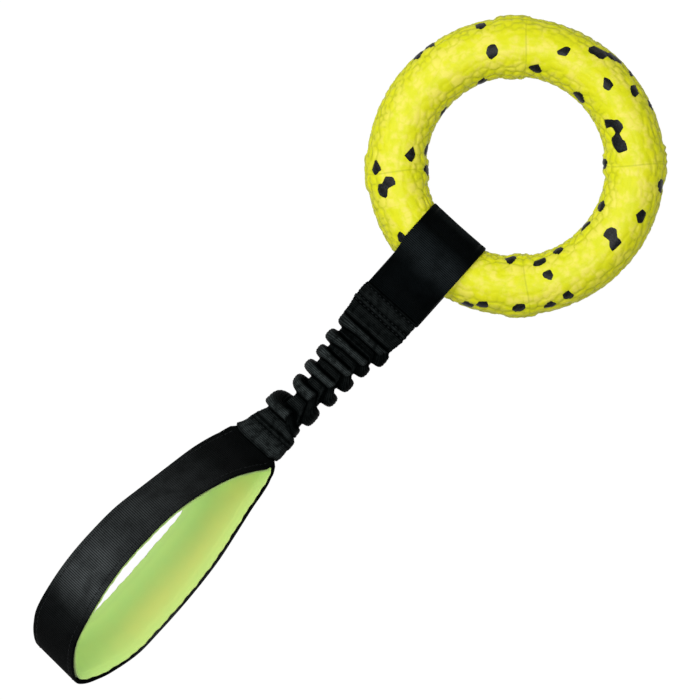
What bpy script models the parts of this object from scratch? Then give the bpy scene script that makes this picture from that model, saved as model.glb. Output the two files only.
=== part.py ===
"""Dog tug toy: a moulded foam ring in a webbing strap, a gathered bungee sleeve over an
elastic core, and a padded webbing hand loop. It lies on the floor, z = 0, with +Y from the
hand loop to the ring. Lengths are in metres."""

import math

import bmesh
import bpy
from mathutils import Matrix, Vector

# One moulding of fused foam beads
RING_RADIUS = 0.056
TUBE_RADIUS = 0.014
COLLAR_RISE = 0.0014
COLLAR_LENGTH = 0.012
COLLAR_COUNT = 4
COLLAR_TURN = math.radians(43)

# Webbing, and the clearance that every pair of touching pieces keeps
GAP = 0.0003
WEBBING_WIDTH = 0.032
WEBBING_THICKNESS = 0.0013
STRAP_SLACK = 0.0005

# Lengths along the toy, from the middle of the ring's tube towards the hand
STRAP_SLOPE_LENGTH = 0.0281
UPPER_CUFF_LENGTH = 0.021
SLEEVE_LENGTH = 0.056
LOWER_CUFF_LENGTH = 0.0168
HANDLE_LENGTH = 0.136

# Sewn cuffs at both ends of the sleeve
CUFF_WALL = 0.0012
CUFF_SIDE_WALL = 0.0017
SEWN_END_WIDTH = 0.0265
SEWN_END_LENGTH = 0.011

# Gathered sleeve and the elastic inside it, in half sizes
FOLD_COUNT = 5
CREST_HALF_WIDTH = 0.0117
CREST_HALF_HEIGHT = 0.0106
VALLEY_HALF_WIDTH = 0.0082
VALLEY_HALF_HEIGHT = 0.0072
SLEEVE_WALL = 0.0015
CORE_HALF_WIDTH = 0.0052
CORE_HALF_HEIGHT = 0.0040
FOLD_LEAN_SHARE = 0.2

# Hand loop, leaning on its lower edge
HANDLE_OPENING = 0.049
HANDLE_LEAN = math.radians(38)
HANDLE_SHIFT = 0.0038
LINING_THICKNESS = 0.0026
LINING_START = 0.0042

# Sewing thread
THREAD_DIAMETER = 0.0007
EDGE_STITCH_INSET = 0.003
CUFF_STITCH_INSET = 0.0035
CUFF_STITCH_ROWS = 4

# Counts of facets
RING_STEPS = 80
TUBE_STEPS = 20
SLEEVE_SIDES = 20
FOLD_STEPS = 7
BORE_STEPS = 12
STRAP_ARC_STEPS = 18
STRAP_SLOPE_STEPS = 7
HANDLE_STEPS = 2

# Where the strap's two plies leave the ring's tube, and where the rounded ends of plies
# get their points, all as angles round the tube or the fold line
LOWER_LEAVE_ANGLE = math.radians(72)
UPPER_LEAVE_ANGLE = math.radians(54)
NOSE_ANGLES = [math.radians(angle) for angle in (75, 50, 25)]

# Where the crest of fold n lies, as a share of the sleeve: first * n + growth * n * n
FOLD_FIRST_SHARE = 0.158
FOLD_GROWTH_SHARE = 0.0052
# How far into the sleeve its flat mouths reach
MOUTH_SHARE = 0.09

# The hand loop from its neck to its tip: along the loop, opening, lean of the upper ply,
# lean of the lower ply, lift of the lower edge off the floor, and sideways drift.
# They are shares of HANDLE_LENGTH, half of HANDLE_OPENING, HANDLE_LEAN twice,
# WEBBING_WIDTH twice.
HANDLE_SHARES = (
    (0.000, 0.033, 1.00, 1.00, 0.055, 0.000),
    (0.022, 0.062, 1.00, 1.00, 0.055, 0.000),
    (0.045, 0.229, 1.00, 0.97, 0.055, 0.005),
    (0.085, 0.404, 1.08, 0.92, 0.030, 0.025),
    (0.140, 0.520, 1.20, 0.86, 0.010, 0.060),
    (0.239, 0.706, 1.35, 0.79, 0.000, 0.105),
    (0.348, 0.869, 1.36, 0.74, 0.000, 0.130),
    (0.457, 0.960, 1.32, 0.72, 0.000, 0.140),
    (0.567, 1.000, 1.28, 0.71, 0.000, 0.135),
    (0.676, 0.990, 1.20, 0.72, 0.002, 0.115),
    (0.785, 0.878, 1.12, 0.75, 0.012, 0.100),
    (0.895, 0.630, 1.08, 0.84, 0.050, 0.080),
    (0.955, 0.430, 1.04, 0.92, 0.080, 0.060),
    (0.988, 0.220, 1.00, 0.96, 0.135, 0.035),
    (1.000, 0.000, 0.98, 0.98, 0.215, 0.020),
)

# Worked out from the sizes above
TWO_PLIES = 2 * WEBBING_THICKNESS + GAP
HALF_NECK = TWO_PLIES / 2
FOLD_ROOM = HALF_NECK + GAP
HALF_WEBBING = WEBBING_WIDTH / 2
THREAD_RADIUS = THREAD_DIAMETER / 2
SLOT_HEIGHT = TWO_PLIES + 2 * GAP
SLOT_WIDTH = SEWN_END_WIDTH + 2 * GAP
CUFF_HEIGHT = SLOT_HEIGHT + 2 * CUFF_WALL
CUFF_WIDTH = SLOT_WIDTH + 2 * CUFF_SIDE_WALL
RING_HEIGHT = WEBBING_THICKNESS + STRAP_SLACK + TUBE_RADIUS
BUNGEE_HEIGHT = CREST_HALF_HEIGHT

# Distances from the ring's centre
NECK_REACH = RING_RADIUS + STRAP_SLOPE_LENGTH
UPPER_CUFF_START = NECK_REACH + FOLD_ROOM
SLEEVE_START = UPPER_CUFF_START + UPPER_CUFF_LENGTH + GAP
LOWER_CUFF_START = SLEEVE_START + SLEEVE_LENGTH + GAP
HANDLE_START = LOWER_CUFF_START + LOWER_CUFF_LENGTH + FOLD_ROOM
HANDLE_END = HANDLE_START + HANDLE_LENGTH
EDGE_STITCH_LEVEL = WEBBING_THICKNESS / 2 + 2 * GAP + THREAD_RADIUS
HAND_REACH = HANDLE_END + EDGE_STITCH_LEVEL + THREAD_RADIUS
RING_REACH = RING_RADIUS + TUBE_RADIUS
RING_Y = (HAND_REACH - RING_REACH) / 2


def along(reach):
    """The y of a place at this distance from the ring's centre towards the hand."""
    return RING_Y - reach


def ease(share):
    share = min(max(share, 0), 1)
    return share * share * (3 - 2 * share)


def mixed(low, high, share):
    return low + (high - low) * share


def new_collection(name):
    collection = bpy.data.collections.new(name)
    bpy.context.scene.collection.children.link(collection)
    return collection


def new_material(name, colour, roughness):
    material = bpy.data.materials.new(name)
    material.use_nodes = True
    shader = material.node_tree.nodes["Principled BSDF"]
    shader.inputs["Base Color"].default_value = (*colour, 1)
    shader.inputs["Roughness"].default_value = roughness
    shader.inputs["Metallic"].default_value = 0
    material.diffuse_color = (*colour, 1)
    return material


def place(made, name, material, collection):
    """Gives an object its name and material and moves it to its collection."""
    for old in list(made.users_collection):
        old.objects.unlink(made)
    collection.objects.link(made)
    made.name = name
    made.data.name = name
    made.data.materials.clear()
    made.data.materials.append(material)
    return made


def object_from(shape, name, material, collection):
    bmesh.ops.recalc_face_normals(shape, faces=shape.faces)
    mesh = bpy.data.meshes.new(name)
    shape.to_mesh(mesh)
    shape.free()
    made = bpy.data.objects.new(name, mesh)
    made.data.shade_smooth()
    made.data.set_sharp_from_angle(angle=math.radians(40))
    return place(made, name, material, collection)


def loft(rings, closed=False):
    """A skin over rings of equally many points. Open rows of rings get end faces. The
    second half of each ring is split the other way, so that the two faces of a band, and
    of two bands that lie on each other, are split alike."""
    shape = bmesh.new()
    rows = [[shape.verts.new(point) for point in ring] for ring in rings]
    sides = len(rows[0])
    pairs = list(zip(rows, rows[1:]))
    if closed:
        pairs.append((rows[-1], rows[0]))
    for near, far in pairs:
        for i in range(sides):
            j = (i + 1) % sides
            if i < sides // 2:
                shape.faces.new((near[i], near[j], far[j]))
                shape.faces.new((near[i], far[j], far[i]))
            else:
                shape.faces.new((near[i], near[j], far[i]))
                shape.faces.new((near[j], far[j], far[i]))
    if not closed:
        shape.faces.new(rows[0])
        shape.faces.new(rows[-1])
    return shape


class Station:
    """A place on a band: a point of its reference line, the band's width direction and
    its outward direction, and the levels of its two faces along the latter."""

    def __init__(self, point, width, out, half_width, inner, outer):
        self.point = point
        self.width = width
        self.out = out
        self.half_width = half_width
        self.inner = inner
        self.outer = outer

    def at(self, across, level):
        return self.point + self.width * across + self.out * level

    def outline(self):
        """The band's section, with its selvedges narrowed and a point on each stitch line."""
        middle = (self.inner + self.outer) / 2
        edge = self.half_width
        shoulder = edge - WEBBING_THICKNESS / 3
        stitch = edge - EDGE_STITCH_INSET
        return [
            self.at(-edge, middle),
            self.at(-shoulder, self.outer),
            self.at(-stitch, self.outer),
            self.at(stitch, self.outer),
            self.at(shoulder, self.outer),
            self.at(edge, middle),
            self.at(shoulder, self.inner),
            self.at(stitch, self.inner),
            self.at(-stitch, self.inner),
            self.at(-shoulder, self.inner),
        ]


def band(name, stations, material, collection):
    return object_from(loft([s.outline() for s in stations]), name, material, collection)


def thread(name, points, material, collection):
    """One unbroken line of sewing thread through these points."""
    curve = bpy.data.curves.new(name, "CURVE")
    curve.dimensions = "3D"
    curve.bevel_depth = THREAD_RADIUS
    curve.bevel_resolution = 1
    curve.use_fill_caps = True
    line = curve.splines.new("POLY")
    line.points.add(len(points) - 1)
    for place_on_line, point in zip(line.points, points):
        place_on_line.co = (*point, 1)
    return place(bpy.data.objects.new(name, curve), name, material, collection)


def make_ring(material, collection):
    """A torus whose four raised mould collars stand proud on the outer side."""
    bpy.ops.mesh.primitive_torus_add(
        major_segments=RING_STEPS,
        minor_segments=TUBE_STEPS,
        major_radius=RING_RADIUS,
        minor_radius=TUBE_RADIUS,
        location=(0, along(0), RING_HEIGHT),
    )
    ring = bpy.context.object
    collar_half_angle = COLLAR_LENGTH / RING_RADIUS / 2
    collar_spacing = 2 * math.pi / COLLAR_COUNT
    for vertex in ring.data.vertices:
        spot = vertex.co
        angle = math.atan2(spot.y, spot.x) - COLLAR_TURN
        off = (angle + collar_spacing / 2) % collar_spacing - collar_spacing / 2
        middle = Vector((spot.x, spot.y, 0)).normalized() * RING_RADIUS
        outward = (spot - middle) / TUBE_RADIUS
        facing_out = max(outward.dot(middle) / RING_RADIUS, 0)
        rise = ease(2 - 2 * abs(off) / collar_half_angle)
        vertex.co = spot + outward * COLLAR_RISE * rise * facing_out**6
    ring.data.shade_smooth()
    return place(ring, "foam_ring", material, collection)


def nose_places():
    """The rounded end of a ply at a fold line, from its tip to the fold line: how far past
    the line each place lies, and the outer face's level there above the mid plane."""
    return [(HALF_NECK * math.sin(a), HALF_NECK * math.cos(a)) for a in NOSE_ANGLES]


def ring_strap_stations():
    """The strap from its lower end at the neck, under the ring's tube, round its inner
    side, over it and back to the neck. The reference line is the strap's inner face."""
    across = Vector((1, 0, 0))
    radius = TUBE_RADIUS + STRAP_SLACK
    inner_reach = math.sqrt((RING_RADIUS - TUBE_RADIUS) ** 2 - HALF_WEBBING**2)
    inner_centre = inner_reach - STRAP_SLACK + radius
    neck = Vector((0, along(NECK_REACH), BUNGEE_HEIGHT))
    stations = []

    def add(y, z, out_y, out_z, inner=0.0, outer=WEBBING_THICKNESS):
        out = Vector((0, out_y, out_z)).normalized()
        stations.append(Station(Vector((0, y, z)), across, out, HALF_WEBBING, inner, outer))

    def nose(side):
        return [
            (neck.y - past, neck.z + side * GAP / 2, 0, side, 0.0, level - GAP / 2)
            for past, level in nose_places()
        ]

    def slope(side, leave_angle):
        """The ply between the neck and the place where it leaves the tube."""
        centre = Vector((along(RING_RADIUS), RING_HEIGHT))
        way_out = Vector((-math.cos(leave_angle), side * math.sin(leave_angle)))
        leave = centre + way_out * radius
        tangent = Vector((-math.sin(leave_angle), -side * math.cos(leave_angle)))
        end = Vector((neck.y + HALF_NECK, neck.z + side * GAP / 2))
        reach = (leave - end).length / 3
        first = leave + tangent * reach
        second = end + Vector((reach, 0))
        places = []
        for i in range(1, STRAP_SLOPE_STEPS + 1):
            t = i / STRAP_SLOPE_STEPS
            spot = (
                leave * (1 - t) ** 3
                + first * 3 * t * (1 - t) ** 2
                + second * 3 * t * t * (1 - t)
                + end * t**3
            )
            way = (
                (first - leave) * (1 - t) ** 2
                + (second - first) * 2 * t * (1 - t)
                + (end - second) * t * t
            )
            out = Vector((way.y, -way.x)) * side
            if out.y * side < 0:
                out = -out
            places.append((spot.x, spot.y, out.x, out.y))
        return places

    def arc(centre_reach, start, stop, steps):
        places = []
        for i in range(steps + 1):
            angle = mixed(start, stop, i / steps)
            out = Vector((math.cos(angle), math.sin(angle)))
            spot = Vector((along(centre_reach), RING_HEIGHT)) + out * radius
            places.append((spot.x, spot.y, out.x, out.y))
        return places

    quarter = math.pi / 2
    for spot in nose(-1):
        add(*spot)
    add(neck.y, neck.z - GAP / 2, 0, -1)
    for spot in reversed(slope(-1, LOWER_LEAVE_ANGLE)):
        add(*spot)
    outer_steps = STRAP_ARC_STEPS // 4
    for spot in arc(RING_RADIUS, -math.pi + LOWER_LEAVE_ANGLE, -quarter, outer_steps):
        add(*spot)
    for spot in arc(inner_centre, -quarter, quarter, STRAP_ARC_STEPS):
        add(*spot)
    for spot in arc(RING_RADIUS, quarter, math.pi - UPPER_LEAVE_ANGLE, outer_steps):
        add(*spot)
    for spot in slope(1, UPPER_LEAVE_ANGLE):
        add(*spot)
    add(neck.y, neck.z + GAP / 2, 0, 1)
    for spot in reversed(nose(1)):
        add(*spot)
    return stations


class Cuff:
    """A flattened end of the sleeve: a tube of webbing with a slot right through it."""

    def __init__(self, start, length, lean, centre):
        self.start = start
        self.length = length
        self.matrix = (
            Matrix.Translation((centre.x, along(start + length / 2), centre.z))
            @ Matrix.Rotation(-lean, 4, "Y")
        )


def make_cuff(name, cuff, material, collection, cutters):
    bpy.ops.mesh.primitive_cube_add(size=1)
    made = place(bpy.context.object, name, material, collection)
    made.data.transform(Matrix.Diagonal((CUFF_WIDTH, cuff.length, CUFF_HEIGHT, 1)))
    made.matrix_world = cuff.matrix
    rounded = made.modifiers.new("rolled selvedges", "BEVEL")
    rounded.limit_method = "WEIGHT"
    rounded.width = CUFF_HEIGHT / 2 - GAP
    rounded.segments = 3
    weights = made.data.attributes.new("bevel_weight_edge", "FLOAT", "EDGE")
    for edge in made.data.edges:
        first, second = (made.data.vertices[i].co for i in edge.vertices)
        runs_along = abs(first.y - second.y) > cuff.length / 2
        weights.data[edge.index].value = 1.0 if runs_along else 0.0
    bpy.ops.mesh.primitive_cube_add(size=1)
    slot = place(bpy.context.object, name + "_slot", material, cutters)
    slot.data.transform(Matrix.Diagonal((SLOT_WIDTH, 2 * cuff.length, SLOT_HEIGHT, 1)))
    slot.matrix_world = cuff.matrix
    slot.hide_render = True
    slot.display_type = "WIRE"
    cut = made.modifiers.new("slot", "BOOLEAN")
    cut.object = slot
    return made


def make_sewn_end(name, cuff, first_reach, material, collection):
    """The two strap ends, sewn flat together inside a cuff."""
    bpy.ops.mesh.primitive_cube_add(size=1)
    made = place(bpy.context.object, name, material, collection)
    made.data.transform(Matrix.Diagonal((SEWN_END_WIDTH, SEWN_END_LENGTH, TWO_PLIES, 1)))
    shift = cuff.start + cuff.length / 2 - first_reach - SEWN_END_LENGTH / 2
    made.matrix_world = cuff.matrix @ Matrix.Translation((0, shift, 0))
    return made


def make_cuff_stitching(name, cuff, material, collection):
    """Rows of lockstitch across a cuff, one line of thread that turns at its edges."""
    level = CUFF_HEIGHT / 2 + GAP + THREAD_RADIUS
    reach = SEWN_END_WIDTH / 2 - CUFF_STITCH_INSET / 2
    half_length = cuff.length / 2 - CUFF_STITCH_INSET
    points = []
    for row in range(CUFF_STITCH_ROWS):
        y = mixed(half_length, -half_length, row / (CUFF_STITCH_ROWS - 1))
        side = -1 if row % 2 else 1
        points.append(cuff.matrix @ Vector((-side * reach, y, level)))
        points.append(cuff.matrix @ Vector((side * reach, y, level)))
    return thread(name, points, material, collection)


def handle_neck():
    """The middle of the fold line where the hand loop leaves the lower cuff."""
    return handle_axis(HANDLE_SHARES[0])


def handle_axis(row):
    share, opening, _, lower_lean, lift, drift = row
    lean = HANDLE_LEAN * lower_lean
    rest = HALF_WEBBING * math.sin(lean) + WEBBING_THICKNESS / 2 * math.cos(lean)
    rise = opening * HANDLE_OPENING / 2 * math.cos(HANDLE_LEAN)
    return Vector(
        (
            -HANDLE_SHIFT - drift * WEBBING_WIDTH,
            along(HANDLE_START + share * HANDLE_LENGTH),
            rest + rise + lift * WEBBING_WIDTH,
        )
    )


def through(first, second, third, fourth, t):
    """A point between second and third on the smooth curve through all four."""
    return 0.5 * (
        2 * second
        + (third - first) * t
        + (2 * first - 5 * second + 4 * third - fourth) * t * t
        + (3 * second - first - 3 * third + fourth) * t**3
    )


def handle_stations():
    """The hand loop's webbing, from the upper ply's end at the neck round the tip to the
    lower ply's end. The reference line is the middle of the webbing."""
    opens = Vector((-math.sin(HANDLE_LEAN), 0, math.cos(HANDLE_LEAN)))
    half_opening = HANDLE_OPENING / 2
    rows = []
    for row in HANDLE_SHARES:
        point = handle_axis(row) + opens * half_opening * row[1]
        rows.append((point, HANDLE_LEAN * row[2]))
    for row in reversed(HANDLE_SHARES[:-1]):
        point = handle_axis(row) - opens * half_opening * row[1]
        rows.append((point, HANDLE_LEAN * row[3]))
    padded = [rows[0], *rows, rows[-1]]
    places = []
    for i in range(len(rows) - 1):
        four = padded[i : i + 4]
        for step in range(HANDLE_STEPS):
            t = step / HANDLE_STEPS
            point = through(*(row[0] for row in four), t)
            lean = through(*(row[1] for row in four), t)
            places.append((point, lean))
    places.append(rows[-1])
    stations = []
    last = len(places) - 1
    for i, (point, lean) in enumerate(places):
        way = places[min(i + 1, last)][0] - places[max(i - 1, 0)][0]
        way.normalize()
        width = Vector((math.cos(lean), 0, math.sin(lean)))
        out = way.cross(width).normalized()
        if i in (0, last):
            out = opens if i == 0 else -opens
        half = WEBBING_THICKNESS / 2
        stations.append(Station(point, width, out, HALF_WEBBING, -half, half))
    return stations


def make_handle_webbing(material, collection):
    stations = handle_stations()
    neck = handle_neck()
    half = WEBBING_THICKNESS / 2
    ends = []
    for station in (stations[0], stations[-1]):
        nose = []
        for past, level in nose_places():
            point = station.point + Vector((0, past, 0))
            outer = level - (station.point - neck).dot(station.out)
            nose.append(
                Station(point, station.width, station.out, HALF_WEBBING, -half, outer)
            )
        ends.append(nose)
    rows = [*ends[0], *stations, *reversed(ends[1])]
    return band("handle_webbing", rows, material, collection)


def make_handle_lining(material, collection):
    """The padding sewn to the inside of the hand loop."""
    outer = -WEBBING_THICKNESS / 2 - GAP
    start = along(HANDLE_START + LINING_START)
    rows = [
        Station(s.point, s.width, s.out, HALF_WEBBING, outer - LINING_THICKNESS, outer)
        for s in handle_stations()
        if s.point.y < start
    ]
    return band("handle_lining", rows, material, collection)


def make_edge_stitching(name, side, material, collection):
    """The line of thread that holds the lining near one edge of the hand loop."""
    across = side * (HALF_WEBBING - EDGE_STITCH_INSET)
    start = along(HANDLE_START + LINING_START)
    points = [s.at(across, EDGE_STITCH_LEVEL) for s in handle_stations() if s.point.y < start]
    return thread(name, points, material, collection)


def sleeve_axis(share):
    """The middle of the sleeve and its turn about the toy's length at this share of it."""
    neck = handle_neck()
    bend = ease(share) ** 1.5
    return (
        Vector(
            (
                mixed(0, neck.x, bend),
                along(SLEEVE_START + share * SLEEVE_LENGTH),
                mixed(BUNGEE_HEIGHT, neck.z, ease(share)),
            )
        ),
        HANDLE_LEAN * ease(share),
    )


def flatness(share):
    """1 in the flat mouths at both ends of the sleeve, 0 along the round middle."""
    return 1 - ease(min(share, 1 - share) / MOUTH_SHARE)


def fold_lean(share):
    """How far the folds lean along the toy, per unit of width."""
    return FOLD_LEAN_SHARE * math.sin(math.pi * min(max(share, 0), 1)) ** 2


def mouth_shares(steps):
    """Shares of the sleeve's length, closer together in its two mouths."""
    half = [0.5 * (i / steps * 2) ** 1.6 for i in range(steps // 2 + 1)]
    return [*half, *(1 - share for share in reversed(half[:-1]))]


def oval(share, half_width, half_height, squareness, lean_share):
    """One ring of points round the sleeve's axis at this share of its length."""
    centre, turn = sleeve_axis(share)
    width = Vector((math.cos(turn), 0, math.sin(turn)))
    height = Vector((-math.sin(turn), 0, math.cos(turn)))
    power = 2 / mixed(2, 7, squareness)
    points = []
    for i in range(SLEEVE_SIDES):
        angle = 2 * math.pi * i / SLEEVE_SIDES
        cos, sin = math.cos(angle), math.sin(angle)
        x = math.copysign(abs(cos) ** power, cos) * half_width
        z = math.copysign(abs(sin) ** power, sin) * half_height
        points.append(centre + width * x + height * z + Vector((0, -lean_share * x, 0)))
    return points


def fold_shares():
    """Shares of the sleeve's length at which it gets a ring, and how far each is from a
    valley, 0, to a crest, 1."""
    shares = []
    for step in range(FOLD_COUNT * FOLD_STEPS + 1):
        n = step / FOLD_STEPS
        share = FOLD_FIRST_SHARE * n + FOLD_GROWTH_SHARE * n * n
        crest = (0.5 + 0.5 * math.cos(2 * math.pi * n)) ** 0.75
        shares.append((share, crest))
    rest = 1 - shares[-1][0]
    return [*shares, (1 - rest / 2, 0.6), (1, 0)]


def make_sleeve(material, collection):
    """The gathered sleeve: rings of folds outside and a plain bore inside."""
    outside = []
    for share, crest in fold_shares():
        flat = flatness(share)
        round_width = mixed(VALLEY_HALF_WIDTH, CREST_HALF_WIDTH, crest)
        round_height = mixed(VALLEY_HALF_HEIGHT, CREST_HALF_HEIGHT, crest)
        outside.append(
            oval(
                share,
                mixed(round_width, CUFF_WIDTH / 2, flat),
                mixed(round_height, CUFF_HEIGHT / 2, flat),
                flat,
                fold_lean(share),
            )
        )
    inside = []
    for share in mouth_shares(BORE_STEPS):
        flat = flatness(share)
        inside.append(
            oval(
                share,
                mixed(VALLEY_HALF_WIDTH - SLEEVE_WALL, SLOT_WIDTH / 2, flat),
                mixed(VALLEY_HALF_HEIGHT - SLEEVE_WALL, SLOT_HEIGHT / 2, flat),
                flat,
                fold_lean(share),
            )
        )
    rings = [*outside, *reversed(inside)]
    return object_from(loft(rings, closed=True), "bungee_sleeve", material, collection)


def make_core(upper, lower, material, collection):
    """The elastic: flat where the cuffs are sewn over it, thick in the sleeve."""
    first_reach = upper.start + SEWN_END_LENGTH + GAP
    last_reach = lower.start + lower.length - SEWN_END_LENGTH - GAP
    first = (first_reach - SLEEVE_START) / SLEEVE_LENGTH
    last = (last_reach - SLEEVE_START) / SLEEVE_LENGTH
    rings = []
    for share in [first, *mouth_shares(BORE_STEPS), last]:
        flat = flatness(share)
        rings.append(
            oval(
                share,
                mixed(CORE_HALF_WIDTH, SEWN_END_WIDTH / 2, flat),
                mixed(CORE_HALF_HEIGHT, HALF_NECK, flat),
                flat,
                0,
            )
        )
    return object_from(loft(rings), "bungee_core", material, collection)


def main():
    for old in list(bpy.data.objects):
        bpy.data.objects.remove(old, do_unlink=True)
    toy = new_collection("dog_tug_toy")
    cutters = new_collection("cutters")

    foam = new_material("bead_foam", (0.76, 0.80, 0.02), 0.55)
    webbing = new_material("black_webbing", (0.006, 0.007, 0.008), 0.6)
    padding = new_material("green_padding", (0.40, 0.66, 0.16), 0.85)
    elastic = new_material("elastic", (0.02, 0.02, 0.02), 0.7)
    sewing = new_material("thread", (0.01, 0.01, 0.012), 0.5)

    upper = Cuff(UPPER_CUFF_START, UPPER_CUFF_LENGTH, 0, Vector((0, 0, BUNGEE_HEIGHT)))
    lower = Cuff(LOWER_CUFF_START, LOWER_CUFF_LENGTH, HANDLE_LEAN, handle_neck())
    upper_end_reach = upper.start
    lower_end_reach = lower.start + lower.length - SEWN_END_LENGTH

    make_ring(foam, toy)
    band("ring_strap", ring_strap_stations(), webbing, toy)
    make_sewn_end("ring_strap_end", upper, upper_end_reach, webbing, toy)
    make_cuff("upper_cuff", upper, webbing, toy, cutters)
    make_cuff_stitching("upper_cuff_stitching", upper, sewing, toy)
    make_sleeve(webbing, toy)
    make_core(upper, lower, elastic, toy)
    make_cuff("lower_cuff", lower, webbing, toy, cutters)
    make_cuff_stitching("lower_cuff_stitching", lower, sewing, toy)
    make_sewn_end("handle_end", lower, lower_end_reach, webbing, toy)
    make_handle_webbing(webbing, toy)
    make_handle_lining(padding, toy)
    make_edge_stitching("edge_stitching_left", -1, sewing, toy)
    make_edge_stitching("edge_stitching_right", 1, sewing, toy)


main()
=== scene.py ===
"""The looks of a dog tug toy: a moulded foam ring, a webbing strap, a gathered bungee sleeve
and a padded hand loop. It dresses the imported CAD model. Lengths are in metres, written as
millimetres times MM."""

import math

import bpy
import numpy as np
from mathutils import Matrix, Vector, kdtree


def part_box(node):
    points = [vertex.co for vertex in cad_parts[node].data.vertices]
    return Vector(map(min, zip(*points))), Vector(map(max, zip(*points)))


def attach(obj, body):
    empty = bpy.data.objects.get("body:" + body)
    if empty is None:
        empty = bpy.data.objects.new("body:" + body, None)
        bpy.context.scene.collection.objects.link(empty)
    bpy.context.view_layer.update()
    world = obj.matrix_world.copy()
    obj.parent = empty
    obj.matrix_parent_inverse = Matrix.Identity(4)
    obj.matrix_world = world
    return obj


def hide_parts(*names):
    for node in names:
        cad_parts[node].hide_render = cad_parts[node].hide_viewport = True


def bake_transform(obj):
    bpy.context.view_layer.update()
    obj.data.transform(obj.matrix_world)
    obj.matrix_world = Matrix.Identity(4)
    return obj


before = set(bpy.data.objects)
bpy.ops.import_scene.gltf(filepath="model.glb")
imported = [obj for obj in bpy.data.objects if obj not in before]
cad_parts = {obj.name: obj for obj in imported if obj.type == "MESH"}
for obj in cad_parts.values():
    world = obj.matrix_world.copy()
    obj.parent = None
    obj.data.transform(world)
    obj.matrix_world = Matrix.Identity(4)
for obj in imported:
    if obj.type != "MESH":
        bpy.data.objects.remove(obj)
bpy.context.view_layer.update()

MM = 0.001
SEED = 7

# The photograph: 0.4667 mm a pixel, from straight above, turned so that the toy's length
# runs from the upper right to the lower left
PIXEL = 0.4667 * MM
PHOTO_SIDE = 700
PHOTO_TURN = math.radians(41.84)
RING_PIXEL = (515.8, 166.4)
CAMERA_HEIGHT = 6.0
SENSOR_WIDTH = 36.0
# Lamps: name, place, width and power in watts
SOFTBOXES = (
    ("key softbox", (-1.05, -0.1, 1.3), 1.5, 16.6),
    ("top softbox", (0.25, 0.05, 1.9), 0.6, 14.5),
)
FLOOR_SIZE = 8.0
FLOOR_DROP = 0.05 * MM

# Lines of points along webbing are this closely spaced
PATH_SPACING = 0.25 * MM
ARC_STEPS = 60
# The least distance between two points of a mesh
MERGE_DISTANCE = 0.001 * MM

# Ring of fused foam beads
RING_RADIUS = 56 * MM
TUBE_RADIUS = 14 * MM
# The visible moulding is a little smaller than the CAD tube, which its collars reach
MOULDED_RADIUS = 55.7 * MM
MOULDED_TUBE = 13.8 * MM
RING_STEPS = 640
TUBE_STEPS = 156
BEAD_PITCH = 4.7 * MM
BEAD_TRIES = 10
BEAD_SHOULDER = 1.5 * MM
BEAD_RISE_SIDE = 0.80 * MM
BEAD_RISE_CROWN = 0.28 * MM
BEAD_UNEVEN = 0.12 * MM
BLACK_BEAD_EXTRA = 0.8 * MM
# Mould collars: image angle of the middle and half the angle that each covers, in degrees
COLLARS = ((90.9, 5.2), (182.2, 5.6), (271.9, 4.6), (1.5, 5.4))
COLLAR_EDGE = 2 * MM
COLLAR_RISE_OUTER = 1.15 * MM
COLLAR_RISE_INNER = 1.2 * MM
# Lines where the mould's inserts met, as image angles in degrees
SEAMS = (85.2, 0.3, 274.8, 182.6)
SEAM_DEPTH = 0.5 * MM
SEAM_HALF_WIDTH = 0.4 * MM
# How far a seam swings to each side on its way round the tube, in radians
SEAM_BOW = 0.012
# Black beads that the photograph shows, as pixels in it
BLACK_BEADS = (
    (479, 25), (431, 44), (418, 55), (492, 52), (535, 70), (563, 52), (593, 50), (600, 53),
    (614, 57), (618, 60), (631, 72), (607, 85), (635, 92), (653, 104), (579, 98),
    (607, 124), (616, 128), (616, 140), (621, 147), (603, 164), (661, 187), (641, 216),
    (600, 207), (585, 225), (610, 235), (614, 244), (558, 250), (539, 262), (547, 275),
    (567, 296), (549, 306), (519, 308), (509, 259), (481, 305), (467, 305), (401, 238),
    (388, 182), (382, 191), (376, 169), (412, 155), (428, 151), (428, 170), (483, 84),
    (444, 114),
)
UNSEEN_BLACK_BEADS = 44

# Webbing
WEBBING_THICKNESS = 1.3 * MM
RIB_PITCH = 0.88 * MM
LOOP_RIB_PITCH = 1 * MM
RIB_RISE = 0.10 * MM
YARN_PITCH = 0.55 * MM
ROWS_PER_RIB = 4
# The ribs grow from the webbing's edges over this width
RIB_FADE = 0.8 * MM
# How deep a line of stitches draws the webbing in, and over half what width
STITCH_PULL = 0.1 * MM
STITCH_PULL_WIDTH = 0.55 * MM
GAP = 0.3 * MM
STRAP_SLACK = 0.5 * MM
STRAP_BOW = 0.3 * MM
# How far the strap's edges draw into the ring's inner side, past the CAD model's slack
STRAP_PRESS = 0.8 * MM
# Where the strap leaves the ring's tube below and above, in degrees from the hand's side
LOWER_LEAVE = 72
UPPER_LEAVE = 54
NECK_REACH = 84.1 * MM
BUNGEE_HEIGHT = 10.6 * MM
TAIL_LENGTH = 11 * MM
# The hand loop's tails in the lower cuff: how far in, how far from its middle, and their
# lean as a share of the cuff's
LOOP_TAILS = (
    (13.8 * MM, 0.95 * MM, 1.0),
    (6.4 * MM, 0.95 * MM, 0.95),
    (3.2 * MM, 1 * MM, 0.86),
)
TAIL_HALF_WIDTH = 13.2 * MM
# Webbing folds beside a cuff over this length, and this far inside it
FOLD_LENGTH = 4 * MM
FOLD_DEPTH = 2.2 * MM

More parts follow.
